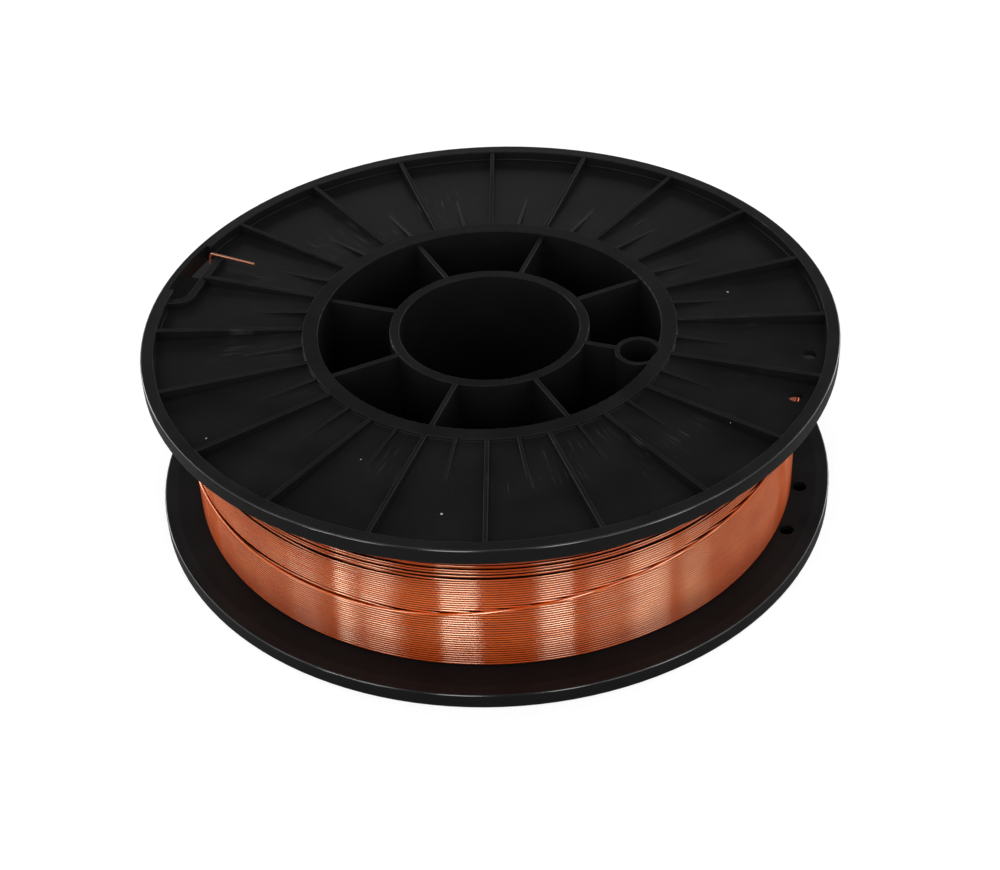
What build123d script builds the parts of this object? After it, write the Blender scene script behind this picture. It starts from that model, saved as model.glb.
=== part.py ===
"""A 5 kg spool of mig welding wire: one moulded plastic spool, the winding and the wire's free end.

Millimetres. The spool lies flat on one flange: +Z is its axis and z = 0 is the surface it lies on.
Angles are in degrees, anticlockwise from +X seen from above.
"""
from build123d import *
from math import acos, cos, degrees, radians, sin
import os

# Overall size
flange_radius = 99.0
spool_width = 55.0

# Flange: a rim, a shallow conical web behind it and a smooth inner face towards the wire
flange_thickness = 4.6
rim_width = 3.7
rim_recess = 3.0
rim_edge_radius = 0.5
collar_width = 4.6
collar_drop = 0.8
collar_step = 0.9
edge_radius = 0.3
corner_radius = 0.4

# Barrel that carries the wire, and the hub with its spindle bore
barrel_radius = 51.5
barrel_wall = 2.6
bore_radius = 25.7
hub_wall = 3.0
hub_drop = 1.7
hub_edge_radius = 0.4

# Walls between hub and barrel
spoke_count = 8
spoke_thickness = 1.5
spoke_angle = 24.5

# Tube for the drive pin, on the line of one of those walls
drive_pin_circle_radius = 44.2
drive_pin_radius = 5.4
drive_tube_wall = 1.4
drive_pin_spoke = 7

# Ribs on the outer face of each flange
rib_count = 20
rib_angle = 15.8
rib_thickness = 1.3
rib_rim_drop = 0.15
short_rib_thickness = 1.0
short_rib_length = 17.0

# Two holes through each flange, in which a wire end can be anchored
anchor_hole_radius = 2.1
anchor_hole_rim_gap = 4.7
anchor_hole_angles = (-12.6, -25.3)

# Hook-shaped wire clip on the upper flange: a straight wall that turns out to the rim,
# with a pocket behind it and a thinner rim along the pocket
clip_wall_thickness = 2.4
clip_drop = 1.0
clip_start_rim_gap = 4.4
clip_corner_rim_gap = 5.2
clip_corner_radius = 3.2
clip_start_angle = 151.6
clip_corner_angle = 167.5
clip_foot_angle = 168.3
pocket_rim_relief = 1.5
relief_end_angle = 165.5

# Slot through the flange, at the open end of the pocket, that lets the wire end up
slot_width = 4.2
slot_rim_gap = 0.5
slot_end_angle = 158.6
slot_start_gap = 2.4

# Wire
wire_diameter = 0.8
winding_rim_gap = 10.9
winding_barrel_clearance = 0.15
wire_clearance = 0.05

# Free end of the wire: off the winding at a tangent, up the slot, and in along the flange
end_reach = 16.0
end_angle = 152.4
end_flange_clearance = 0.4
end_bend_radius = 1.6

# How far ribs, walls and the clip run into what they join, so that the moulding is one solid,
# and how deep the tip of a short rib lies under the web
root = 0.6
rib_tip_depth = 0.02

# Worked out from the sizes above
middle = spool_width / 2
rim_inner_radius = flange_radius - rim_width
barrel_inner_radius = barrel_radius - barrel_wall
collar_outer_radius = barrel_inner_radius + collar_width
hub_radius = bore_radius + hub_wall
winding_radius = flange_radius - winding_rim_gap
lower_inner_face = flange_thickness
upper_inner_face = spool_width - flange_thickness
collar_top = spool_width - collar_drop
hub_top = spool_width - hub_drop
clip_top = spool_width - clip_drop
web_at_collar = collar_top - collar_step
web_at_rim = spool_width - rim_recess
rib_base = upper_inner_face + root


def polar(radius, angle):
    """The point at a distance from the axis, at an angle."""
    return (radius * cos(radians(angle)), radius * sin(radians(angle)))


def between(radius, height_at_collar, height_at_rim):
    """Height at a radius on the straight line from the collar's edge to the rim's inner edge."""
    share = (radius - collar_outer_radius) / (rim_inner_radius - collar_outer_radius)
    return height_at_collar + share * (height_at_rim - height_at_collar)


def bar_section(inner, outer, inner_top, outer_top, base):
    """Adds the side view of a bar to the sketch in hand: two radii, the top at each, and the base."""
    with BuildLine() as border:
        Polyline((inner, base), (outer, base), (outer, outer_top), (inner, inner_top), close=True)
    return make_face(border.edges())


def ring_sector(inner, outer, first_angle, last_angle):
    """Adds a face between two radii and two angles to the sketch in hand."""
    half_angle = (first_angle + last_angle) / 2
    with BuildLine() as border:
        Line(polar(inner, first_angle), polar(outer, first_angle))
        ThreePointArc(polar(outer, first_angle), polar(outer, half_angle), polar(outer, last_angle))
        Line(polar(outer, last_angle), polar(inner, last_angle))
        ThreePointArc(polar(inner, last_angle), polar(inner, half_angle), polar(inner, first_angle))
    return make_face(border.edges())


# One long rib of the upper flange, along +X, from the collar to the rim
with BuildPart() as long_rib:
    rib_inner = collar_outer_radius - root
    rib_outer = rim_inner_radius + root
    rib_rim_top = spool_width - rib_rim_drop
    with BuildSketch(Plane.XZ):
        bar_section(
            rib_inner,
            rib_outer,
            between(rib_inner, collar_top, rib_rim_top),
            between(rib_outer, collar_top, rib_rim_top),
            rib_base,
        )
    extrude(amount=rib_thickness / 2, both=True)
    fillet(long_rib.faces().sort_by(Axis.Z)[-1].edges().sort_by(SortBy.LENGTH)[-2:], radius=edge_radius)

# One short rib, which runs from the collar down into the web
with BuildPart() as short_rib:
    short_rib_end = collar_outer_radius + short_rib_length
    short_rib_tip = between(short_rib_end, web_at_collar, web_at_rim) - rib_tip_depth
    short_rib_fall = (collar_top - short_rib_tip) / short_rib_length
    with BuildSketch(Plane.XZ):
        bar_section(rib_inner, short_rib_end, collar_top + root * short_rib_fall, short_rib_tip, rib_base)
    extrude(amount=short_rib_thickness / 2, both=True)
    fillet(short_rib.faces().sort_by(Axis.Z)[-1].edges().sort_by(SortBy.LENGTH)[-2:], radius=edge_radius)

# One wall between hub and barrel, along +X, from the middle of the spool up
with BuildPart() as spoke:
    with BuildSketch(Plane.XZ):
        bar_section(hub_radius - root, barrel_inner_radius + root, hub_top, hub_top, middle)
    extrude(amount=spoke_thickness / 2, both=True)
    fillet(spoke.faces().sort_by(Axis.Z)[-1].edges().sort_by(SortBy.LENGTH)[-2:], radius=corner_radius)

# Upper half of the drive-pin tube, cut off inside the barrel's wall
drive_pin_centre = polar(drive_pin_circle_radius, spoke_angle + drive_pin_spoke * 360 / spoke_count)
with BuildPart() as drive_tube:
    with BuildSketch(Plane.XY.offset(middle)):
        with Locations(drive_pin_centre):
            Circle(drive_pin_radius + drive_tube_wall)
            Circle(drive_pin_radius, mode=Mode.SUBTRACT)
    extrude(amount=hub_top - middle)
    fillet(drive_tube.faces().sort_by(Axis.Z)[-1].edges(), radius=edge_radius)
    with BuildSketch(Plane.XY.offset(middle)):
        Circle(barrel_radius - root)
    extrude(amount=middle, mode=Mode.INTERSECT)

# Upper half of the moulding, from the middle of its width up, without what is on one flange alone
with BuildPart() as half:
    with BuildSketch(Plane.XZ) as shell_section:
        with BuildLine():
            Polyline(
                (barrel_inner_radius, middle),
                (barrel_radius, middle),
                (barrel_radius, upper_inner_face),
                (flange_radius, upper_inner_face),
                (flange_radius, spool_width),
                (rim_inner_radius, spool_width),
                (rim_inner_radius, web_at_rim),
                (collar_outer_radius, web_at_collar),
                (collar_outer_radius, collar_top),
                (barrel_inner_radius, collar_top),
                close=True,
            )
        make_face()
        fillet(shell_section.vertices().sort_by(Axis.X)[-2:], radius=rim_edge_radius)
        rim_inner_corners = shell_section.vertices().filter_by_position(
            Axis.X, rim_inner_radius - edge_radius, rim_inner_radius + edge_radius
        )
        fillet(rim_inner_corners, radius=edge_radius)
        collar_corners = shell_section.vertices().filter_by_position(
            Axis.X, collar_outer_radius - edge_radius, collar_outer_radius + edge_radius
        )
        fillet(collar_corners, radius=edge_radius)
        fillet(shell_section.vertices().group_by(Axis.X)[0].sort_by(Axis.Y)[-1], radius=edge_radius)
    revolve(axis=Axis.Z)

    with BuildSketch(Plane.XZ) as hub_section:
        with Locations((bore_radius + hub_wall / 2, (middle + hub_top) / 2)):
            Rectangle(hub_wall, hub_top - middle)
        fillet(hub_section.vertices().group_by(Axis.Y)[-1], radius=hub_edge_radius)
    revolve(axis=Axis.Z)

    with PolarLocations(0, spoke_count, start_angle=spoke_angle):
        add(spoke.part)
    add(drive_tube.part)
    with BuildSketch(Plane.XY.offset(middle)):
        with Locations(drive_pin_centre):
            Circle(drive_pin_radius)
    extrude(amount=middle, mode=Mode.SUBTRACT)

    with PolarLocations(0, rib_count, start_angle=rib_angle):
        add(long_rib.part)
    with PolarLocations(0, rib_count, start_angle=rib_angle + 180 / rib_count):
        add(short_rib.part)

    with BuildSketch(Plane.XY.offset(upper_inner_face)):
        for anchor_hole_angle in anchor_hole_angles:
            with Locations(polar(rim_inner_radius - anchor_hole_rim_gap, anchor_hole_angle)):
                Circle(anchor_hole_radius)
    extrude(amount=flange_thickness, mode=Mode.SUBTRACT)

# The clip, along its own centre line
clip_start = polar(rim_inner_radius - clip_start_rim_gap, clip_start_angle)
clip_corner = polar(rim_inner_radius - clip_corner_rim_gap, clip_corner_angle)
clip_foot = polar(rim_inner_radius + root, clip_foot_angle)
with BuildPart() as clip:
    with BuildSketch(Plane.XY.offset(rib_base)):
        with BuildLine():
            FilletPolyline(clip_start, clip_corner, clip_foot, radius=clip_corner_radius)
        trace(line_width=clip_wall_thickness)
    extrude(amount=clip_top - rib_base)
    fillet(clip.faces().sort_by(Axis.Z)[-1].edges(), radius=corner_radius)

# The whole moulding: both halves, and the pocket, slot and clip of the upper flange
relief_radius = rim_inner_radius + pocket_rim_relief
slot_outer_radius = relief_radius - slot_rim_gap
slot_inner_radius = slot_outer_radius - slot_width
end_exit_radius = (slot_inner_radius + slot_outer_radius) / 2
slot_start_angle = end_angle - degrees(slot_start_gap / end_exit_radius)
with BuildPart() as spool:
    add(half.part)
    mirror(half.part, about=Plane.XY.offset(middle))

    with BuildSketch(Plane.XY.offset(web_at_rim)):
        with BuildLine():
            pocket_first = polar(rim_inner_radius, slot_start_angle)
            pocket_last = polar(rim_inner_radius, clip_foot_angle)
            pocket_middle = polar(rim_inner_radius, (slot_start_angle + clip_foot_angle) / 2)
            Polyline(pocket_first, clip_start, clip_corner, pocket_last)
            ThreePointArc(pocket_last, pocket_middle, pocket_first)
        make_face()
        ring_sector(rim_inner_radius - root, relief_radius, slot_start_angle, relief_end_angle)
    extrude(amount=rim_recess, mode=Mode.SUBTRACT)

    with BuildSketch(Plane.XY.offset(upper_inner_face)):
        ring_sector(slot_inner_radius, slot_outer_radius, slot_start_angle, slot_end_angle)
    extrude(amount=flange_thickness, mode=Mode.SUBTRACT)
    add(clip.part)

# The winding: all turns as one turned solid with its bore
with BuildPart() as wire_winding:
    with BuildSketch(Plane.XY.offset(lower_inner_face)):
        Circle(winding_radius)
        Circle(barrel_radius + winding_barrel_clearance, mode=Mode.SUBTRACT)
    extrude(amount=upper_inner_face - lower_inner_face)

# The free end of the wire
wire_radius = wire_diameter / 2
end_start_radius = winding_radius + wire_radius + wire_clearance
end_start_angle = end_angle - degrees(acos(end_start_radius / end_exit_radius))
end_low = upper_inner_face - end_flange_clearance - wire_radius
end_high = clip_top + wire_radius + wire_clearance
with BuildPart() as wire_end:
    with BuildLine() as end_line:
        FilletPolyline(
            (*polar(end_start_radius, end_start_angle), end_low),
            (*polar(end_exit_radius, end_angle), end_low),
            (*polar(end_exit_radius, end_angle), end_high),
            (*polar(end_exit_radius - end_reach, end_angle), end_high),
            radius=end_bend_radius,
        )
    with BuildSketch(Plane(origin=end_line.line @ 0, z_dir=end_line.line % 0)):
        Circle(wire_radius)
    sweep()

os.makedirs("parts", exist_ok=True)
spool.part.label = "spool"
export_step(spool.part, "parts/spool.step")
wire_winding.part.label = "wire_winding"
export_step(wire_winding.part, "parts/wire_winding.step")
wire_end.part.label = "wire_end"
export_step(wire_end.part, "parts/wire_end.step")
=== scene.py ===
"""The looks of a 5 kg spool of mig welding wire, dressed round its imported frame.

Metres, in the part's own frame: +Z is the spool's axis and z = 0 the surface it lies on. Angles are in
degrees, anticlockwise from +X seen from above. The photograph looks along +Y, down on the upper flange.
"""
import logging
from collections.abc import Sequence
from dataclasses import dataclass
from enum import Enum
from math import acos, cos, degrees, pi, radians, sin, sqrt, tan

import bmesh
import bpy
from mathutils import Matrix, Vector


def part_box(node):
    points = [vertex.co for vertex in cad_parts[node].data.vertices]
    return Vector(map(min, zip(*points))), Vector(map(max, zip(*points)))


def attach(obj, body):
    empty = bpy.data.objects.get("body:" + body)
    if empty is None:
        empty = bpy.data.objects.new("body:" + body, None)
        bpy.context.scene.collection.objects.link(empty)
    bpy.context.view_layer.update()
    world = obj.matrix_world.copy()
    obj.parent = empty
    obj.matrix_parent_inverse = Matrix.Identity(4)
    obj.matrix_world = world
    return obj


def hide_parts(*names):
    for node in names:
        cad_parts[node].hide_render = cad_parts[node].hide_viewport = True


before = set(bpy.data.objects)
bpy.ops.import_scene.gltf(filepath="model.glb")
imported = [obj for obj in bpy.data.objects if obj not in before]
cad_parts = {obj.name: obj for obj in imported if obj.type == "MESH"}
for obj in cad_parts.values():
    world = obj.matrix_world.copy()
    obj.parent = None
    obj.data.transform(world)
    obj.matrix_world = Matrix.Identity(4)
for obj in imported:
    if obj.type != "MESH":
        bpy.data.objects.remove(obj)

MM = 0.001
BODY = "root"
PLASTIC_SLOT = "spool_plastic"
WIRE_SLOT = "copper_coated_wire"

logging.basicConfig(level=logging.INFO, format="%(message)s")
log = logging.getLogger("spool")


def linear(code: str) -> tuple[float, float, float, float]:
    """Turns an sRGB hex colour into linear light.

    Args:
        code: The colour, such as "#c87a4a".

    Returns:
        Red, green, blue and an alpha of 1.
    """
    shares = [int(code[place:place + 2], 16) / 255 for place in (1, 3, 5)]
    light = [share / 12.92 if share <= 0.04045 else ((share + 0.055) / 1.055) ** 2.4 for share in shares]
    return (light[0], light[1], light[2], 1.0)


def add_node(tree: bpy.types.NodeTree, kind: str, inputs: dict | None = None, **settings) -> bpy.types.Node:
    """Adds a node to a tree, with its settings and links.

    Args:
        tree: The tree that the node joins.
        kind: The node's type.
        inputs: For each input, by name or number, the socket that it is linked from or its value.
        settings: The node's own options.

    Returns:
        The new node.
    """
    node = tree.nodes.new(kind)
    for name, value in settings.items():
        setattr(node, name, value)
    for place, value in (inputs or {}).items():
        if isinstance(value, bpy.types.NodeSocket):
            tree.links.new(value, node.inputs[place])
        else:
            node.inputs[place].default_value = value
    return node


def new_material(name: str) -> tuple[bpy.types.Material, bpy.types.NodeTree]:
    """Starts a material.

    Args:
        name: Its name.

    Returns:
        The material, and its node tree with nothing in it yet.
    """
    material = bpy.data.materials.new(name)
    material.use_nodes = True
    material.node_tree.nodes.clear()
    return material, material.node_tree


def new_object(name: str, data: bpy.types.ID) -> bpy.types.Object:
    """Puts a mesh, a lamp or a camera into the scene.

    Args:
        name: The object's name.
        data: What it holds.

    Returns:
        The object, at the origin.
    """
    holder = bpy.data.objects.new(name, data)
    bpy.context.scene.collection.objects.link(holder)
    return holder


def polar(radius: float, angle: float, height: float) -> Vector:
    """The point at a distance from the axis, at an angle and a height."""
    return Vector((radius * cos(radians(angle)), radius * sin(radians(angle)), height))


def smooth_step(share: float) -> float:
    """A rise from 0 to 1 with level ends."""
    held = min(1.0, max(0.0, share))
    return held * held * (3 - 2 * held)


def through(knots: Sequence[tuple[float, float]], place: float) -> float:
    """The value at a place on a smooth line through knots, level where the knots turn back.

    Args:
        knots: Places and values, in order of place.
        place: Where the value is wanted.

    Returns:
        The value, held at the first and last knot.
    """
    if place <= knots[0][0]:
        return knots[0][1]
    if place >= knots[-1][0]:
        return knots[-1][1]
    slopes = [(b[1] - a[1]) / (b[0] - a[0]) for a, b in zip(knots, knots[1:])]
    number = next(i for i in range(len(slopes)) if place <= knots[i + 1][0])
    (start, low), (end, high) = knots[number], knots[number + 1]
    step = end - start
    before = slopes[max(0, number - 1)]
    here = slopes[number]
    after = slopes[min(len(slopes) - 1, number + 1)]
    leave = (before + here) / 2 if before * here > 0 else 0.0
    reach = (here + after) / 2 if here * after > 0 else 0.0
    t = (place - start) / step
    return (
        (2 * t**3 - 3 * t**2 + 1) * low
        + (t**3 - 2 * t**2 + t) * step * leave
        + (3 * t**2 - 2 * t**3) * high
        + (t**3 - t**2) * step * reach
    )


def fix_piece(piece: bpy.types.Object, slot: str, *nodes: str) -> None:
    """Makes a finished piece ride on the spool's body.

    Args:
        piece: The piece, in place.
        slot: Not used.
        nodes: The part's own nodes that the piece stands for.
    """
    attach(piece, BODY)
    if nodes:
        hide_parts(*nodes)
    log.info("%s: %d vertices, %d faces", piece.name, len(piece.data.vertices), len(piece.data.polygons))


@dataclass(frozen=True)
class MouldedPolystyrene:
    """Black polystyrene, injection moulded: satin and nearly even, with pale radial rubs on the webs.

    The colour is in the plastic, so wear shows only as a change of gloss and as pale scuffs. Only the rims'
    worn outer edges shine. Specks of dust are drawn coarse enough to show.
    """

    colour: str = "#131314"
    colour_change: tuple[float, float] = (0.86, 1.14)
    mottle_size: float = 14 * MM
    mottle_range: tuple[float, float] = (0.3, 0.7)
    refraction: float = 1.55
    roughness: tuple[float, float] = (0.32, 0.41)
    gloss_level: float = 0.09
    rim_gloss_level: float = 0.145
    rim_start: tuple[float, float] = (95 * MM, 95.6 * MM)
    edge_gloss_level: float = 0.75
    edge_roughness: float = 0.14
    edge_start: tuple[float, float] = (97 * MM, 98 * MM)
    edge_slant: tuple[float, float] = (0.03, 0.15)
    peel_size: float = 0.9 * MM
    peel_depth: float = 0.1 * MM
    peel_strength: float = 0.06
    scuff_colour: str = "#4e4e4f"
    rub_share: float = 0.5
    rub_width: float = 0.55 * MM
    rub_length: float = 11 * MM
    rub_radius: float = 66.5 * MM
    rub_range: tuple[float, float] = (0.58, 0.76)
    rub_inner_edge: tuple[float, float] = (54 * MM, 59 * MM)
    rub_outer_edge: tuple[float, float] = (82 * MM, 74 * MM)
    rub_patch_size: float = 22 * MM
    rub_patch_range: tuple[float, float] = (0.47, 0.62)
    dust_colour: str = "#b4b4b6"
    dust_spacing: float = 7 * MM
    dust_size: float = 0.34 * MM
    dust_share: float = 0.06

    def material(self) -> bpy.types.Material:
        """Builds the finish.

        Returns:
            The material.
        """
        material, tree = new_material("moulded_black_polystyrene")
        place = add_node(tree, "ShaderNodeTexCoord").outputs["Object"]
        parts = add_node(tree, "ShaderNodeSeparateXYZ", {0: place}).outputs
        flat = add_node(tree, "ShaderNodeCombineXYZ", {0: parts[0], 1: parts[1]}).outputs[0]
        radius = add_node(tree, "ShaderNodeVectorMath", {0: flat}, operation="LENGTH").outputs["Value"]
        mottle = add_node(
            tree, "ShaderNodeTexNoise", {"Vector": place, "Scale": 1 / self.mottle_size, "Detail": 4.0}
        ).outputs[0]
        colour = self.colour_of_face(tree, place, mottle, self.rubs(tree, place, parts, radius))
        gloss, dullness = self.shine(tree, radius, mottle)
        peel = add_node(
            tree, "ShaderNodeTexNoise", {"Vector": place, "Scale": 1 / self.peel_size, "Detail": 2.0}
        ).outputs[0]
        bump = add_node(
            tree,
            "ShaderNodeBump",
            {"Strength": self.peel_strength, "Distance": self.peel_depth, "Height": peel},
        ).outputs[0]
        shader = add_node(
            tree,
            "ShaderNodeBsdfPrincipled",
            {
                "Base Color": colour,
                "Roughness": dullness,
                "IOR": self.refraction,
                "Specular IOR Level": gloss,
                "Normal": bump,
            },
        )
        add_node(tree, "ShaderNodeOutputMaterial", {"Surface": shader.outputs[0]})
        return material

    def rubs(
        self,
        tree: bpy.types.NodeTree,
        place: bpy.types.NodeSocket,
        parts: Sequence[bpy.types.NodeSocket],
        radius: bpy.types.NodeSocket,
    ) -> bpy.types.NodeSocket:
        """Draws fine radial rubs on the inner half of the webs, in patches.

        Args:
            tree: The material's tree.
            place: The point that is shaded.
            parts: Its coordinates.
            radius: Its distance from the axis.

        Returns:
            How far the point is rubbed, from 0 to 1.
        """
        angle = add_node(tree, "ShaderNodeMath", {0: parts[1], 1: parts[0]}, operation="ARCTAN2").outputs[0]
        across = add_node(
            tree, "ShaderNodeMath", {0: angle, 1: self.rub_radius / self.rub_width}, operation="MULTIPLY"
        ).outputs[0]
        along = add_node(
            tree, "ShaderNodeMath", {0: radius, 1: 1 / self.rub_length}, operation="MULTIPLY"
        ).outputs[0]
        unrolled = add_node(tree, "ShaderNodeCombineXYZ", {0: across, 1: along}).outputs[0]
        streak = add_node(
            tree, "ShaderNodeTexNoise", {"Vector": unrolled, "Scale": 1.0, "Detail": 2.0}
        ).outputs[0]
        patch = add_node(
            tree, "ShaderNodeTexNoise", {"Vector": place, "Scale": 1 / self.rub_patch_size, "Detail": 1.0}
        ).outputs[0]
        masks = []
        for value, (start, end), kind in (
            (streak, self.rub_range, "SMOOTHSTEP"),
            (patch, self.rub_patch_range, "LINEAR"),
            (radius, self.rub_inner_edge, "SMOOTHSTEP"),
            (radius, self.rub_outer_edge, "SMOOTHSTEP"),
        ):
            mask = add_node(
                tree, "ShaderNodeMapRange", {0: value, 1: start, 2: end}, interpolation_type=kind
            ).outputs[0]
            masks.append(mask)
        share = masks[0]
        for mask in masks[1:]:
            share = add_node(
                tree, "ShaderNodeMath", {0: share, 1: mask}, operation="MULTIPLY"
            ).outputs[0]
        return share

    def colour_of_face(
        self,
        tree: bpy.types.NodeTree,
        place: bpy.types.NodeSocket,
        mottle: bpy.types.NodeSocket,
        rubs: bpy.types.NodeSocket,
    ) -> bpy.types.NodeSocket:
        """Mixes the plastic's black with its pale scuffs and specks of dust.

        Args:
            tree: The material's tree.
            place: The point that is shaded.
            mottle: The slow change of tone there.
            rubs: How far it is rubbed.

        Returns:
            The colour.
        """
        low, high = self.mottle_range
        least, most = self.colour_change
        lift = add_node(
            tree, "ShaderNodeMapRange", {0: mottle, 1: low, 2: high, 3: least, 4: most}
        ).outputs[0]
        plain = add_node(
            tree,
            "ShaderNodeMix",
            {0: 1.0, 6: linear(self.colour), 7: lift},
            data_type="RGBA",
            blend_type="MULTIPLY",
        ).outputs[2]
        share = add_node(
            tree, "ShaderNodeMath", {0: rubs, 1: self.rub_share}, operation="MULTIPLY"
        ).outputs[0]
        rubbed = add_node(
            tree, "ShaderNodeMix", {0: share, 6: plain, 7: linear(self.scuff_colour)}, data_type="RGBA"
        ).outputs[2]
        cells = add_node(
            tree, "ShaderNodeTexVoronoi", {"Vector": place, "Scale": 1 / self.dust_spacing}
        ).outputs
        lot = add_node(tree, "ShaderNodeSeparateXYZ", {0: cells["Color"]}).outputs[0]
        chosen = add_node(
            tree, "ShaderNodeMath", {0: lot, 1: 1.0 - self.dust_share}, operation="GREATER_THAN"
        ).outputs[0]
        speck = add_node(
            tree,
            "ShaderNodeMath",
            {0: cells[0], 1: self.dust_size / self.dust_spacing},
            operation="LESS_THAN",
        ).outputs[0]
        dust = add_node(tree, "ShaderNodeMath", {0: chosen, 1: speck}, operation="MULTIPLY").outputs[0]
        return add_node(
            tree, "ShaderNodeMix", {0: dust, 6: rubbed, 7: linear(self.dust_colour)}, data_type="RGBA"
        ).outputs[2]

    def shine(
        self, tree: bpy.types.NodeTree, radius: bpy.types.NodeSocket, mottle: bpy.types.NodeSocket
    ) -> tuple[bpy.types.NodeSocket, bpy.types.NodeSocket]:
        """Makes the webs dull, the rims' faces satin and the rims' slanted outer edges glossy.

        Args:
            tree: The material's tree.
            radius: The point's distance from the axis.
            mottle: The slow change of tone there.

        Returns:
            The level of its gloss, and its roughness.
        """
        normal = add_node(tree, "ShaderNodeNewGeometry").outputs["Normal"]
        upward = add_node(tree, "ShaderNodeSeparateXYZ", {0: normal}).outputs[2]
        square = add_node(tree, "ShaderNodeMath", {0: upward, 1: upward}, operation="MULTIPLY").outputs[0]
        rest = add_node(tree, "ShaderNodeMath", {0: 1.0, 1: square}, operation="SUBTRACT").outputs[0]
        slant = add_node(tree, "ShaderNodeMath", {0: square, 1: rest}, operation="MULTIPLY").outputs[0]
        start, end = self.edge_start
        outside = add_node(tree, "ShaderNodeMapRange", {0: radius, 1: start, 2: end}).outputs[0]
        edge = add_node(tree, "ShaderNodeMath", {0: slant, 1: outside}, operation="MULTIPLY").outputs[0]
        low, high = self.edge_slant
        worn = add_node(tree, "ShaderNodeMapRange", {0: edge, 1: low, 2: high}).outputs[0]
        start, end = self.rim_start
        face_gloss = add_node(
            tree,
            "ShaderNodeMapRange",
            {0: radius, 1: start, 2: end, 3: self.gloss_level, 4: self.rim_gloss_level},
        ).outputs[0]
        gloss = add_node(
            tree, "ShaderNodeMix", {0: worn, 2: face_gloss, 3: self.edge_gloss_level}, data_type="FLOAT"
        ).outputs[0]
        low, high = self.mottle_range
        least, most = self.roughness
        sheen = add_node(
            tree, "ShaderNodeMapRange", {0: mottle, 1: low, 2: high, 3: least, 4: most}
        ).outputs[0]
        dullness = add_node(
            tree, "ShaderNodeMix", {0: worn, 2: sheen, 3: self.edge_roughness}, data_type="FLOAT"
        ).outputs[0]
        return gloss, dullness


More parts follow.
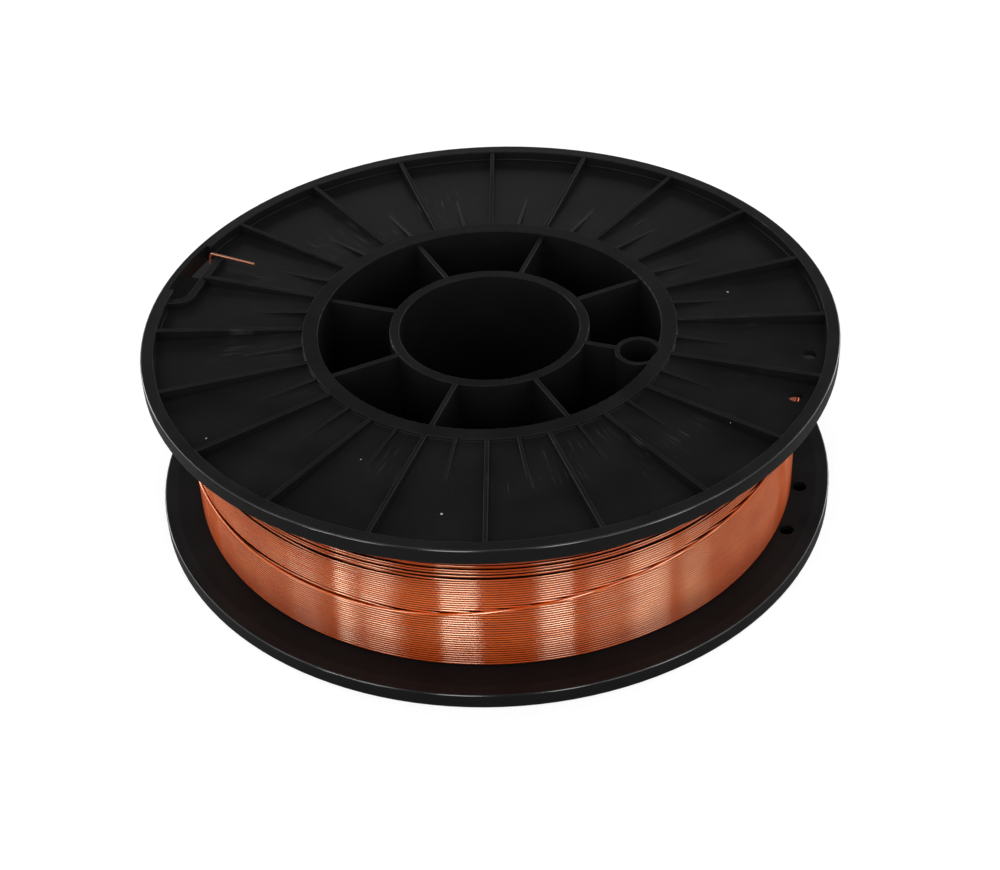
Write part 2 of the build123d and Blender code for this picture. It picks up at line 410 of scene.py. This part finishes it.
@dataclass(frozen=True)
class CopperCoatedSteel:
    """Drawn steel wire under a thin copper coat: a dull deep orange ground with pale burnished lines.

    In a winding the sides of the wire that face its neighbours are drawn dark, a painted shade in the
    grooves between turns, and the turns near the two flanges are drawn redder and duller, a painted shade of
    the flanges.
    """

    ground: str = "#ee701c"
    ground_tarnished: str = "#de6018"
    # Painted shade: near the flanges the ground moves to this redder, darker colour, within the two bands
    # below.
    ground_in_flange_shade: str = "#963018"
    ground_roughness: float = 0.68
    burnished: str = "#ffe0c2"
    burnished_roughness: float = 0.09
    burnished_share: float = 0.28
    low_shade_band: tuple[float, float] = (5 * MM, 17 * MM)
    low_shade_share: float = 0.6
    high_shade_band: tuple[float, float] = (27 * MM, 42 * MM)
    high_shade_share: float = 0.6
    # Painted shade: the wire's sides that face the neighbouring turns are drawn in this dark colour.
    painted_groove_shade: str = "#2a0c06"
    groove_shade_depth: float = 1.0
    groove_shade_facing: tuple[float, float] = (0.5, 0.82)
    patch_size: float = 9 * MM
    patch_range: tuple[float, float] = (0.35, 0.65)
    patch_change: float = 0.04
    streak_size: tuple[float, float] = (50 * MM, 0.9 * MM)
    streak_change: float = 0.08
    noise_range: tuple[float, float] = (0.3, 0.7)

    def material(self) -> bpy.types.Material:
        """Builds the finish.

        Returns:
            The material.
        """
        material, tree = new_material("copper_coated_steel_wire")
        place = add_node(tree, "ShaderNodeTexCoord").outputs["Object"]
        parts = add_node(tree, "ShaderNodeSeparateXYZ", {0: place}).outputs
        patch = add_node(
            tree, "ShaderNodeTexNoise", {"Vector": place, "Scale": 1 / self.patch_size, "Detail": 3.0}
        ).outputs[0]
        # Painted shade in the grooves: 1 on the wire's outward side, falling on the sides that face the
        # neighbouring turns.
        clean = self.clear_of_groove_shade(tree, parts)
        flange_shade = self.shade_near_flanges(tree, parts[2])
        start, end = self.patch_range
        share = add_node(tree, "ShaderNodeMapRange", {0: patch, 1: start, 2: end}).outputs[0]
        copper = add_node(
            tree,
            "ShaderNodeMix",
            {0: share, 6: linear(self.ground), 7: linear(self.ground_tarnished)},
            data_type="RGBA",
        ).outputs[2]
        flange_shaded = add_node(
            tree, "ShaderNodeMix", {0: flange_shade, 6: copper, 7: linear(self.ground_in_flange_shade)}, data_type="RGBA"
        ).outputs[2]
        lobes = []
        for colour, roughness in (
            (flange_shaded, self.ground_roughness),
            (linear(self.burnished), self.burnished_roughness),
        ):
            # Both lobes take the painted groove shade on the wire's sides.
            groove_shaded = add_node(
                tree, "ShaderNodeMix", {0: clean, 6: linear(self.painted_groove_shade), 7: colour}, data_type="RGBA"
            ).outputs[2]
            lobe = add_node(
                tree,
                "ShaderNodeBsdfPrincipled",
                {"Base Color": groove_shaded, "Metallic": 1.0, "Roughness": roughness},
            )
            lobes.append(lobe.outputs[0])
        shown = self.burnish(tree, place, patch, flange_shade)
        shader = add_node(tree, "ShaderNodeMixShader", {0: shown, 1: lobes[0], 2: lobes[1]}).outputs[0]
        add_node(tree, "ShaderNodeOutputMaterial", {"Surface": shader})
        return material

    def clear_of_groove_shade(
        self, tree: bpy.types.NodeTree, parts: Sequence[bpy.types.NodeSocket]
    ) -> bpy.types.NodeSocket:
        """Finds the side of the wire that faces out of the winding.

        Args:
            tree: The material's tree.
            parts: The coordinates of the point that is shaded.

        Returns:
            1 on that side, falling towards the neighbouring turns by the depth of the painted groove shade.
        """
        normal = add_node(tree, "ShaderNodeNewGeometry").outputs["Normal"]
        flat = add_node(tree, "ShaderNodeCombineXYZ", {0: parts[0], 1: parts[1]}).outputs[0]
        outward = add_node(tree, "ShaderNodeVectorMath", {0: flat}, operation="NORMALIZE").outputs[0]
        facing = add_node(
            tree, "ShaderNodeVectorMath", {0: normal, 1: outward}, operation="DOT_PRODUCT"
        ).outputs["Value"]
        start, end = self.groove_shade_facing
        return add_node(
            tree,
            "ShaderNodeMapRange",
            {0: facing, 1: start, 2: end, 3: 1.0 - self.groove_shade_depth, 4: 1.0},
            interpolation_type="SMOOTHSTEP",
        ).outputs[0]

    def shade_near_flanges(self, tree: bpy.types.NodeTree, height: bpy.types.NodeSocket) -> bpy.types.NodeSocket:
        """Finds the turns near the lower or the upper flange.

        Args:
            tree: The material's tree.
            height: The height of the point that is shaded.

        Returns:
            How far its colour moves to the redder one, the painted shade near the flanges.
        """
        low, high = (
            add_node(
                tree,
                "ShaderNodeMapRange",
                {0: height, 1: start, 2: end, 3: at_start, 4: at_end},
                interpolation_type="SMOOTHSTEP",
            ).outputs[0]
            for (start, end), at_start, at_end in (
                (self.low_shade_band, self.low_shade_share, 0.0),
                (self.high_shade_band, 0.0, self.high_shade_share),
            )
        )
        return add_node(tree, "ShaderNodeMath", {0: low, 1: high}, operation="MAXIMUM").outputs[0]

    def burnish(
        self,
        tree: bpy.types.NodeTree,
        place: bpy.types.NodeSocket,
        patch: bpy.types.NodeSocket,
        flange_shade: bpy.types.NodeSocket,
    ) -> bpy.types.NodeSocket:
        """Works out how much of the surface is burnished: less in patches and turns, and less near the
        flanges as painted shade.

        Args:
            tree: The material's tree.
            place: The point that is shaded.
            patch: The noise that the patches come from.
            flange_shade: How much painted shade of a flange lies on the point.

        Returns:
            The share of the pale lobe.
        """
        low, high = self.noise_range
        most, least = self.burnished_share + self.patch_change, self.burnished_share - self.patch_change
        shine = add_node(
            tree, "ShaderNodeMapRange", {0: patch, 1: low, 2: high, 3: most, 4: least}
        ).outputs[0]
        along, across = (1 / size for size in self.streak_size)
        stretched = add_node(
            tree, "ShaderNodeVectorMath", {0: place, 1: (along, along, across)}, operation="MULTIPLY"
        ).outputs[0]
        streak = add_node(
            tree, "ShaderNodeTexNoise", {"Vector": stretched, "Scale": 1.0, "Detail": 1.0}
        ).outputs[0]
        change = add_node(
            tree,
            "ShaderNodeMapRange",
            {0: streak, 1: low, 2: high, 3: -self.streak_change, 4: self.streak_change},
        ).outputs[0]
        uneven = add_node(tree, "ShaderNodeMath", {0: shine, 1: change}, operation="ADD").outputs[0]
        # Painted shade: the pale lobe is cut back near the flanges.
        outside_flange_shade = add_node(tree, "ShaderNodeMath", {0: 1.0, 1: flange_shade}, operation="SUBTRACT").outputs[0]
        return add_node(tree, "ShaderNodeMath", {0: uneven, 1: outside_flange_shade}, operation="MULTIPLY").outputs[0]


@dataclass(frozen=True)
class PalePaper:
    """The floor's matt paper: white where it is looked at, with a painted shadow of the spool drawn on it.

    The shadow is painted: the paper is drawn dark under the lower flange, and behind it in the disc that the
    upper flange shades from the front. That painted shade has a firm edge at its sides and fades out with
    the distance from the spool.
    """

    colour: str = "#989898"
    painted_shadow_colour: str = "#000000"
    glow: float = 0.8
    contact_edge: tuple[float, float] = (97 * MM, 99 * MM)
    shade_offset: float = 78 * MM
    shade_edge: tuple[float, float] = (108 * MM, 117 * MM)
    shade_fade: tuple[float, float] = (145 * MM, 198 * MM)
    fade_power: float = 3.0
    shade_least: float = 0.02

    def material(self) -> bpy.types.Material:
        """Builds the finish.

        Returns:
            The material.
        """
        material, tree = new_material("pale_paper")
        path = add_node(tree, "ShaderNodeLightPath").outputs
        outside_shadow = self.outside_painted_shadow(tree)
        shown = add_node(
            tree, "ShaderNodeMath", {0: path["Is Camera Ray"], 1: outside_shadow}, operation="MULTIPLY"
        ).outputs[0]
        strength = add_node(
            tree, "ShaderNodeMath", {0: shown, 1: self.glow}, operation="MULTIPLY"
        ).outputs[0]
        # Painted shadow: inside the drawn shade the paper's colour goes to black and its glow is left out.
        tone = add_node(
            tree,
            "ShaderNodeMix",
            {0: outside_shadow, 6: linear(self.painted_shadow_colour), 7: linear(self.colour)},
            data_type="RGBA",
        ).outputs[2]
        paper = add_node(tree, "ShaderNodeBsdfDiffuse", {"Color": tone}).outputs[0]
        white = add_node(tree, "ShaderNodeEmission", {"Strength": strength}).outputs[0]
        surface = add_node(tree, "ShaderNodeAddShader", {0: paper, 1: white}).outputs[0]
        add_node(tree, "ShaderNodeOutputMaterial", {"Surface": surface})
        return material

    def outside_painted_shadow(self, tree: bpy.types.NodeTree) -> bpy.types.NodeSocket:
        """Draws the shade on the floor.

        Args:
            tree: The material's tree.

        Returns:
            0 where the shadow is painted, rising to 1 in the open.
        """
        place = add_node(tree, "ShaderNodeTexCoord").outputs["Object"]
        from_axis = add_node(tree, "ShaderNodeVectorMath", {0: place}, operation="LENGTH").outputs["Value"]
        from_shade = add_node(
            tree, "ShaderNodeVectorMath", {0: place, 1: (0.0, self.shade_offset, 0.0)}, operation="DISTANCE"
        ).outputs["Value"]
        clear, flange_shade, away = (
            add_node(
                tree, "ShaderNodeMapRange", {0: distance, 1: near, 2: far}, interpolation_type=kind
            ).outputs[0]
            for distance, (near, far), kind in (
                (from_axis, self.contact_edge, "SMOOTHSTEP"),
                (from_shade, self.shade_edge, "SMOOTHSTEP"),
                (from_axis, self.shade_fade, "LINEAR"),
            )
        )
        faded = add_node(tree, "ShaderNodeMath", {0: away, 1: self.fade_power}, operation="POWER").outputs[0]
        soft = add_node(
            tree, "ShaderNodeMath", {0: faded, 1: self.shade_least}, operation="MAXIMUM"
        ).outputs[0]
        behind = add_node(tree, "ShaderNodeMath", {0: flange_shade, 1: soft}, operation="MAXIMUM").outputs[0]
        return add_node(tree, "ShaderNodeMath", {0: clear, 1: behind}, operation="MULTIPLY").outputs[0]


class Layer(Enum):
    """A layer of the winding, by how many layers of wire lie over it."""

    OUTER = 0
    UNDER = 1


@dataclass(frozen=True)
class Parting:
    """A gap between turns that runs round the winding, and how the turns over it are lifted to leave it.

    The heights and widths are in millimetres at angles from start to start + 360.
    """

    heights: tuple[tuple[float, float], ...]
    widths: tuple[tuple[float, float], ...]
    reach: float = 200.0
    start: float = 0.0
    rise: float = 0.6

    def lift(self, height: float, angle: float) -> float:
        """How far a turn moves up at a place.

        Args:
            height: The turn's height there, before this gap opens.
            angle: The place.

        Returns:
            The height to add.
        """
        place = (angle - self.start) % 360 + self.start
        over = height / MM - through(self.heights, place)
        share = smooth_step(over / self.rise + 0.5) * (1 - smooth_step(over / self.reach))
        return through(self.widths, place) * share * MM


class WireSweep:
    """Sweeps a round wire along a path with Geometry Nodes, and keeps the result as a plain mesh.

    The wire may wander a little about its path, by a noise with a fixed seed.
    """

    def __init__(self, material: bpy.types.Material) -> None:
        """Builds the node tree.

        Args:
            material: The wire's finish.
        """
        self.material = material
        self.tree = bpy.data.node_groups.new("wire_sweep", "GeometryNodeTree")
        face = self.tree.interface
        face.new_socket("Geometry", in_out="INPUT", socket_type="NodeSocketGeometry")
        face.new_socket("Geometry", in_out="OUTPUT", socket_type="NodeSocketGeometry")
        self.sockets = {
            name: face.new_socket(name, in_out="INPUT", socket_type=kind).identifier
            for name, kind in (
                ("Wire Radius", "NodeSocketFloat"),
                ("Sides", "NodeSocketInt"),
                ("Waviness", "NodeSocketFloat"),
                ("Wave Length", "NodeSocketFloat"),
                ("Seed", "NodeSocketFloat"),
                ("Finish", "NodeSocketMaterial"),
            )
        }
        given = add_node(self.tree, "NodeGroupInput").outputs
        place = add_node(self.tree, "GeometryNodeInputPosition").outputs[0]
        wave_scale = add_node(
            self.tree, "ShaderNodeMath", {0: 1.0, 1: given["Wave Length"]}, operation="DIVIDE"
        ).outputs[0]
        noise = add_node(
            self.tree,
            "ShaderNodeTexNoise",
            {"Vector": place, "Scale": wave_scale, "W": given["Seed"], "Detail": 0.0},
            noise_dimensions="4D",
        ).outputs["Color"]
        swing = add_node(
            self.tree, "ShaderNodeVectorMath", {0: noise, 1: (0.5, 0.5, 0.5)}, operation="SUBTRACT"
        ).outputs[0]
        drift = add_node(
            self.tree, "ShaderNodeVectorMath", {0: swing, "Scale": given["Waviness"]}, operation="SCALE"
        ).outputs[0]
        curve = add_node(self.tree, "GeometryNodeMeshToCurve", {0: given["Geometry"]}).outputs[0]
        moved = add_node(self.tree, "GeometryNodeSetPosition", {0: curve, "Offset": drift}).outputs[0]
        level = add_node(self.tree, "GeometryNodeSetCurveNormal", {0: moved}, mode="Z_UP").outputs[0]
        section = add_node(
            self.tree,
            "GeometryNodeCurvePrimitiveCircle",
            {"Resolution": given["Sides"], "Radius": given["Wire Radius"]},
        ).outputs[0]
        tube = add_node(
            self.tree, "GeometryNodeCurveToMesh", {0: level, 1: section, "Fill Caps": True}
        ).outputs[0]
        smooth = add_node(self.tree, "GeometryNodeSetShadeSmooth", {0: tube}).outputs[0]
        real = add_node(self.tree, "GeometryNodeRealizeInstances", {0: smooth}).outputs[0]
        dressed = add_node(self.tree, "GeometryNodeSetMaterial", {0: real, "Material": given["Finish"]})
        add_node(self.tree, "NodeGroupOutput", {0: dressed.outputs[0]})

    def tube(
        self,
        name: str,
        path: Sequence[Vector],
        wire_radius: float,
        sides: int,
        waviness: float = 0.0,
        wave_length: float = 30 * MM,
        seed: float = 1.0,
    ) -> bpy.types.Object:
        """Makes one length of wire.

        Args:
            name: The piece's name.
            path: The points of its centre line.
            wire_radius: The wire's radius.
            sides: How many sides its section has.
            waviness: How far the line may wander, from side to side.
            wave_length: How long one swing of that wander is.
            seed: Which wander it is.

        Returns:
            The wire as a plain mesh object at the origin.
        """
        line = bpy.data.meshes.new(name + "_line")
        line.from_pydata([tuple(point) for point in path], [(i, i + 1) for i in range(len(path) - 1)], [])
        holder = new_object(name + "_line", line)
        sweep = holder.modifiers.new("sweep", "NODES")
        sweep.node_group = self.tree
        values = {
            "Wire Radius": wire_radius,
            "Sides": sides,
            "Waviness": waviness,
            "Wave Length": wave_length,
            "Seed": seed,
            "Finish": self.material,
        }
        for label, value in values.items():
            sweep[self.sockets[label]] = value
        depsgraph = bpy.context.evaluated_depsgraph_get()
        mesh = bpy.data.meshes.new_from_object(holder.evaluated_get(depsgraph))
        mesh.name = name
        bpy.data.objects.remove(holder)
        bpy.data.meshes.remove(line)
        return new_object(name, mesh)


# The last turn's height in millimetres by angle, as it climbs from the lower flange up to the slot.
LAST_TURN_CLIMB = (
    (75, 5.2),
    (100, 8.6),
    (150, 16.3),
    (180, 21.3),
    (200, 23.1),
    (215, 22.7),
    (230, 22.2),
    (244, 22.1),
    (260, 23.3),
    (275, 25.6),
    (300, 29.3),
    (325, 33.0),
    (345, 36.0),
    (360, 38.2),
    (390, 42.7),
    (420, 47.0),
    (440, 49.4),
)


@dataclass
class WireWinding:
    """The outer two layers of the winding, turn by turn, over a plain ring for the layers below.

    The layer below is wound the other way. It shows only in the gaps, so it has half the points and fewer
    sides. The ring reaches out to the third layer below, and its inner radius is a share of the spool's.
    """

    sweep: WireSweep
    wire_radius: float = 0.4 * MM
    partings: tuple[Parting, ...] = (
        Parting(
            LAST_TURN_CLIMB,
            (
                (75, 0.2),
                (190, 0.6),
                (200, 0.95),
                (244, 0.9),
                (256, 0.35),
                (300, 0.4),
                (312, 0.8),
                (338, 0.8),
                (380, 0.4),
            ),
            reach=14.0,
            start=75.0,
        ),
        Parting(
            ((0, 35.4), (90, 34.4), (180, 33.4), (214, 33.9), (268, 35.4), (317, 36.3), (360, 35.4)),
            ((0, 0.7), (180, 0.8), (215, 1.1), (240, 0.9), (262, 0.65), (290, 0.7), (317, 0.9), (360, 0.7)),
        ),
        Parting(
            ((0, 37.3), (180, 37.0), (360, 37.3)),
            ((0, 0.15), (180, 0.3), (225, 0.45), (262, 0.35), (290, 0.2), (360, 0.15)),
        ),
        Parting(
            ((0, 39.1), (180, 39.0), (360, 39.1)),
            ((0, 0.4), (180, 0.5), (228, 0.75), (303, 0.75), (330, 0.5), (360, 0.4)),
        ),
    )
    turns: int = 54
    waviness: float = 0.012 * MM
    change_angle: float = 85.0
    steps_per_turn: int = 132
    outer_sides: int = 10
    under_sides: int = 6
    under_stride: int = 2
    core_depth: int = 3
    core_share: float = 0.52

    def __post_init__(self) -> None:
        """Reads the winding's own size from the frame."""
        low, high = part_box("wire_winding")
        self.crest = max(high.x - low.x, high.y - low.y) / 2
        self.bottom, self.top = low.z, high.z
        self.pitch = 2 * self.wire_radius
        self.layer_step = self.pitch * sqrt(3) / 2

    @property
    def outer_radius(self) -> float:
        """Distance of the outer turns' centre line from the axis."""
        return self.crest - self.wire_radius

    def path(self, layer: Layer) -> list[Vector]:
        """The centre line of one layer, from the lower flange up, with its gaps.

        Args:
            layer: Which layer. The one below lies half a turn's pitch higher.

        Returns:
            Its points.
        """
        way = -1 if layer is Layer.OUTER else 1
        radius = self.outer_radius - layer.value * self.layer_step
        ceiling = self.top - self.wire_radius
        points = []
        for step in range((self.turns - 1 - layer.value) * self.steps_per_turn + 1):
            turn = step / self.steps_per_turn
            angle = self.change_angle + way * 360 * turn
            height = self.bottom + self.wire_radius + self.pitch * (turn + layer.value / 2)
            for parting in self.partings:
                height += parting.lift(height, angle)
            points.append(polar(radius, angle, min(height, ceiling)))
        return points

    def layers(self) -> list[bpy.types.Object]:
        """Makes the turns of both layers.

        Returns:
            Their mesh objects.
        """
        outer = self.path(Layer.OUTER)
        under = self.path(Layer.UNDER)[:: self.under_stride]
        return [
            self.sweep.tube("wire_outer_layer", outer, self.wire_radius, self.outer_sides, self.waviness),
            self.sweep.tube("wire_under_layer", under, self.wire_radius, self.under_sides),
        ]

    def core(self) -> bpy.types.Object:
        """Makes the ring that the layers below come to, from the barrel out to the under layer.

        Returns:
            Its mesh object.
        """
        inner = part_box("spool")[1].x * self.core_share
        outer = self.outer_radius - self.core_depth * self.layer_step + self.wire_radius
        mesh = bpy.data.meshes.new("wire_inner_layers")
        build = bmesh.new()
        steps = self.steps_per_turn
        corners = ((inner, self.bottom), (outer, self.bottom), (outer, self.top), (inner, self.top))
        rings = [
            [build.verts.new(polar(radius, 360 * step / steps, height)) for step in range(steps)]
            for radius, height in corners
        ]
        for ring, following in zip(rings, rings[1:] + rings[:1]):
            for step in range(steps):
                after = (step + 1) % steps
                build.faces.new((ring[step], ring[after], following[after], following[step]))
        bmesh.ops.recalc_face_normals(build, faces=build.faces)
        build.to_mesh(mesh)
        build.free()
        mesh.materials.append(self.sweep.material)
        return new_object("wire_inner_layers", mesh)

    def build(self) -> None:
        """Makes the layers and the ring, which stand for the winding's own solid."""
        for piece in (*self.layers(), self.core()):
            fix_piece(piece, WIRE_SLOT, "wire_winding")


@dataclass
class LastTurn:
    """The last turn, which climbs over the outer layer, and the free end up through the slot.

    The turn settles on the outer layer over its first degrees and leaves it over its last ones, held under
    the upper flange. The wire runs on at a tangent, bends up through the slot and in over the clip.
    """

    winding: WireWinding
    turn_sweep: WireSweep
    end_sweep: WireSweep
    ride_height: float = 0.72 * MM
    clearance: float = 0.05 * MM
    climb: tuple[tuple[float, float], ...] = LAST_TURN_CLIMB
    exit_radius: float = 94.2 * MM
    tip_radius: float = 78.2 * MM
    exit_angle: float = 152.4
    bend_radius: float = 1.6 * MM
    bend_steps: int = 8
    step_angle: float = 1.5
    settle_angle: float = 20.0
    hold_angle: float = 12.0
    leave_angle: float = 25.0
    turn_sides: int = 16
    end_sides: int = 20

    def __post_init__(self) -> None:
        """Reads where the free end lies from the frame."""
        low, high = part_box("wire_end")
        self.low = low.z + self.winding.wire_radius
        self.high = high.z - self.winding.wire_radius
        self.start_radius = self.winding.crest + self.winding.wire_radius + self.clearance
        self.start_angle = self.exit_angle - degrees(acos(self.start_radius / self.exit_radius))

    def height(self, angle: float) -> float:
        """The turn's height at an angle.

        Args:
            angle: The place, counted on from the turn's start.

        Returns:
            The height, held under the upper flange where the turn has climbed there.
        """
        knots = [(place, value * MM) for place, value in self.climb]
        held = knots[-1][0] + self.hold_angle
        return through(knots + [(held, self.low), (self.start_angle + 360, self.low)], angle)

    def turn_path(self) -> list[Vector]:
        """The last turn's centre line.

        Returns:
            Its points, from the lower flange to where the free end leaves the winding.
        """
        first, last = self.climb[0][0], self.start_angle + 360
        steps = round((last - first) / self.step_angle)
        points = []
        for step in range(steps + 1):
            angle = first + (last - first) * step / steps
            settle = smooth_step((angle - first) / self.settle_angle)
            radius = self.winding.outer_radius + self.ride_height * settle
            leave = smooth_step((angle - last + self.leave_angle) / self.leave_angle)
            radius += (self.start_radius - radius) * leave
            points.append(polar(radius, angle, self.height(angle)))
        return points

    def end_path(self) -> list[Vector]:
        """The free end's centre line.

        Returns:
            Its points: a straight run, an upward bend, and a bend in along the flange.
        """
        corners = [
            polar(self.start_radius, self.start_angle, self.low),
            polar(self.exit_radius, self.exit_angle, self.low),
            polar(self.exit_radius, self.exit_angle, self.high),
            polar(self.tip_radius, self.exit_angle, self.high),
        ]
        points = [corners[0]]
        for before, corner, after in zip(corners, corners[1:], corners[2:]):
            back = (before - corner).normalized()
            ahead = (after - corner).normalized()
            half = back.angle(ahead) / 2
            setback = self.bend_radius / tan(half)
            centre = corner + (back + ahead).normalized() * (self.bend_radius / sin(half))
            first = (corner + back * setback - centre).normalized()
            last = (corner + ahead * setback - centre).normalized()
            for step in range(self.bend_steps + 1):
                points.append(centre + first.slerp(last, step / self.bend_steps) * self.bend_radius)
        points.append(corners[-1])
        return points

    def build(self) -> None:
        """Makes the last turn and the free end."""
        wire = self.winding
        turn = self.turn_sweep.tube("wire_last_turn", self.turn_path(), wire.wire_radius, self.turn_sides)
        fix_piece(turn, WIRE_SLOT)
        end = self.end_sweep.tube("wire_free_end", self.end_path(), wire.wire_radius, self.end_sides)
        fix_piece(end, WIRE_SLOT, "wire_end")


@dataclass
class SpoolMoulding:
    """The moulded spool: the part's own shape with clean shading and its finish.

    Level faces stay flat and an edge stays sharp past the crease angle. All else is shaded smooth.
    """

    finish: MouldedPolystyrene
    merge_distance: float = 0.002 * MM
    smallest_edge: float = 0.0005 * MM
    crease_angle: float = 32.0
    level_normal: float = 0.985

    def build(self) -> None:
        """Makes a merged copy of the moulding, smooth over its curved walls, and dresses it."""
        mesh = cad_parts["spool"].data.copy()
        mesh.name = "spool_moulding"
        build = bmesh.new()
        build.from_mesh(mesh)
        bmesh.ops.remove_doubles(build, verts=build.verts, dist=self.merge_distance)
        bmesh.ops.dissolve_degenerate(build, edges=build.edges, dist=self.smallest_edge)
        build.normal_update()
        for face in build.faces:
            face.smooth = abs(face.normal.z) < self.level_normal
        for edge in build.edges:
            bend = edge.calc_face_angle(0.0)
            edge.smooth = len(edge.link_faces) == 2 and bend < radians(self.crease_angle)
        build.to_mesh(mesh)
        build.free()
        mesh.materials.clear()
        mesh.materials.append(self.finish.material())
        piece = new_object("spool_moulding", mesh)
        normals = piece.modifiers.new("face_normals", "WEIGHTED_NORMAL")
        normals.mode = "FACE_AREA"
        normals.keep_sharp = True
        fix_piece(piece, PLASTIC_SLOT, "spool")


@dataclass(frozen=True)
class SoftPanel:
    """A soft box: where it stands round the spool, how large it is and how bright its face is."""

    azimuth: float
    elevation: float
    width: float
    height: float
    radiance: float
    distance: float = 1.5

    def light(self, name: str) -> None:
        """Sets up the panel, facing the spool.

        Args:
            name: The lamp's name.
        """
        lamp = bpy.data.lights.new(name, "AREA")
        lamp.shape = "RECTANGLE"
        lamp.size = self.width
        lamp.size_y = self.height
        lamp.energy = pi * self.width * self.height * self.radiance
        holder = new_object(name, lamp)
        level = self.distance * cos(radians(self.elevation))
        holder.location = polar(level, self.azimuth, self.distance * sin(radians(self.elevation)))
        holder.rotation_mode = "QUATERNION"
        holder.rotation_quaternion = holder.location.to_track_quat("Z", "Y")
        holder.visible_camera = False


@dataclass
class Studio:
    """A pale floor, a dim sky and soft boxes all round the spool.

    The sky's greys are given by the height that it is seen at, from 0 at the horizon to 1 overhead.
    """

    floor_radius: float = 12.0
    floor_drop: float = 0.2 * MM
    sky: tuple[tuple[float, float], ...] = ((0.0, 0.05), (0.80, 0.05), (0.90, 1.0), (1.0, 1.0))
    sky_strength: float = 0.25
    backdrop: str = "#ffffff"
    panels: tuple[SoftPanel, ...] = (
        SoftPanel(144, 24, 0.44, 1.1, 3.6),
        SoftPanel(178, 24, 1.00, 1.1, 0.65),
        SoftPanel(202, 24, 0.28, 1.1, 1.5),
        SoftPanel(217, 24, 0.10, 1.1, 8.0),
        SoftPanel(229.3, 24, 0.24, 1.1, 4.0),
        SoftPanel(255.8, 24, 0.29, 1.1, 5.2),
        SoftPanel(288, 24, 0.26, 1.1, 4.8),
        SoftPanel(303.5, 24, 0.24, 1.1, 1.4),
        SoftPanel(320, 24, 0.34, 1.1, 3.9),
        SoftPanel(337, 24, 0.28, 1.1, 1.7),
        SoftPanel(2, 24, 1.00, 1.1, 0.65),
        SoftPanel(36, 24, 0.44, 1.1, 3.0),
        SoftPanel(90, 76, 1.8, 1.0, 1.0),
        SoftPanel(90, 8, 3.8, 0.9, 0.85),
        SoftPanel(146, 8, 0.40, 0.36, 2.6),
        SoftPanel(34, 8, 0.40, 0.36, 2.2),
    )

    def build(self) -> None:
        """Lays the floor and sets the light."""
        mesh = bpy.data.meshes.new("floor")
        half = self.floor_radius
        corners = [(-half, -half), (half, -half), (half, half), (-half, half)]
        mesh.from_pydata([(x, y, -self.floor_drop) for x, y in corners], [], [(0, 1, 2, 3)])
        mesh.materials.append(PalePaper().material())
        ground = new_object("floor", mesh)
        self.surroundings()
        for number, panel in enumerate(self.panels, 1):
            panel.light(f"soft_panel_{number}")

    def surroundings(self) -> None:
        """Makes the world: grey by height, and white where it is looked at."""
        world = bpy.data.worlds.new("studio")
        bpy.context.scene.world = world
        world.use_nodes = True
        tree = world.node_tree
        tree.nodes.clear()
        direction = add_node(tree, "ShaderNodeTexCoord").outputs["Generated"]
        height = add_node(tree, "ShaderNodeSeparateXYZ", {0: direction}).outputs[2]
        ramp = add_node(tree, "ShaderNodeValToRGB", {0: height})
        stops = ramp.color_ramp.elements
        for number, (place, grey) in enumerate(self.sky):
            stop = stops[number] if number < 2 else stops.new(place)
            stop.position = place
            stop.color = (grey, grey, grey, 1.0)
        path = add_node(tree, "ShaderNodeLightPath").outputs
        light = add_node(
            tree, "ShaderNodeBackground", {"Color": ramp.outputs[0], "Strength": self.sky_strength}
        ).outputs[0]
        white = add_node(tree, "ShaderNodeBackground", {"Color": linear(self.backdrop)}).outputs[0]
        either = add_node(
            tree, "ShaderNodeMixShader", {0: path["Is Camera Ray"], 1: light, 2: white}
        ).outputs[0]
        add_node(tree, "ShaderNodeOutputWorld", {"Surface": either})


@dataclass(frozen=True)
class PhotoCamera:
    """The photograph's camera: above the near side, turned a little about its own line of sight."""

    focal_length: float = 71.54
    sensor_width: float = 36.0
    elevation: float = 39.094
    distance: float = 600.35 * MM
    aim_right: float = 1.64 * MM
    aim_up: float = 10.63 * MM
    roll: float = -2.622

    def place(self) -> None:
        """Sets up the camera."""
        tilt = radians(self.elevation)
        spot = Vector((0.0, -cos(tilt), sin(tilt))) * self.distance
        aim = Vector((self.aim_right, sin(tilt) * self.aim_up, cos(tilt) * self.aim_up))
        ahead = (aim - spot).normalized()
        right = ahead.cross(Vector((0, 0, 1))).normalized()
        up = right.cross(ahead)
        turn = radians(self.roll)
        right, up = right * cos(turn) + up * sin(turn), up * cos(turn) - right * sin(turn)
        lens = bpy.data.cameras.new("photo_camera")
        lens.lens = self.focal_length
        lens.sensor_width = self.sensor_width
        camera = new_object("photo_camera", lens)
        pose = Matrix((right, up, -ahead)).transposed().to_4x4()
        pose.translation = spot
        camera.matrix_world = pose
        bpy.context.scene.camera = camera


def main() -> None:
    """Builds the camera, the spool, its wire and the studio, and notes the model's size."""
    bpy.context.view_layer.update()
    PhotoCamera().place()
    SpoolMoulding(MouldedPolystyrene()).build()
    packed = CopperCoatedSteel()
    crossing = CopperCoatedSteel(groove_shade_depth=0.0)
    # Painted shade: the free end's ground is drawn darker than the winding's, for the round wire's dark
    # sides.
    loose_end_darkened = CopperCoatedSteel(
        ground="#a44214", ground_tarnished="#983a10", burnished_share=0.34, groove_shade_depth=0.0, high_shade_share=0.0
    )
    winding_sweep, turn_sweep, end_sweep = (
        WireSweep(finish.material()) for finish in (packed, crossing, loose_end_darkened)
    )
    winding = WireWinding(winding_sweep)
    winding.build()
    LastTurn(winding, turn_sweep, end_sweep).build()
    Studio().build()
    bpy.context.scene.view_settings.view_transform = "Standard"


if __name__ == "__main__":
    main()
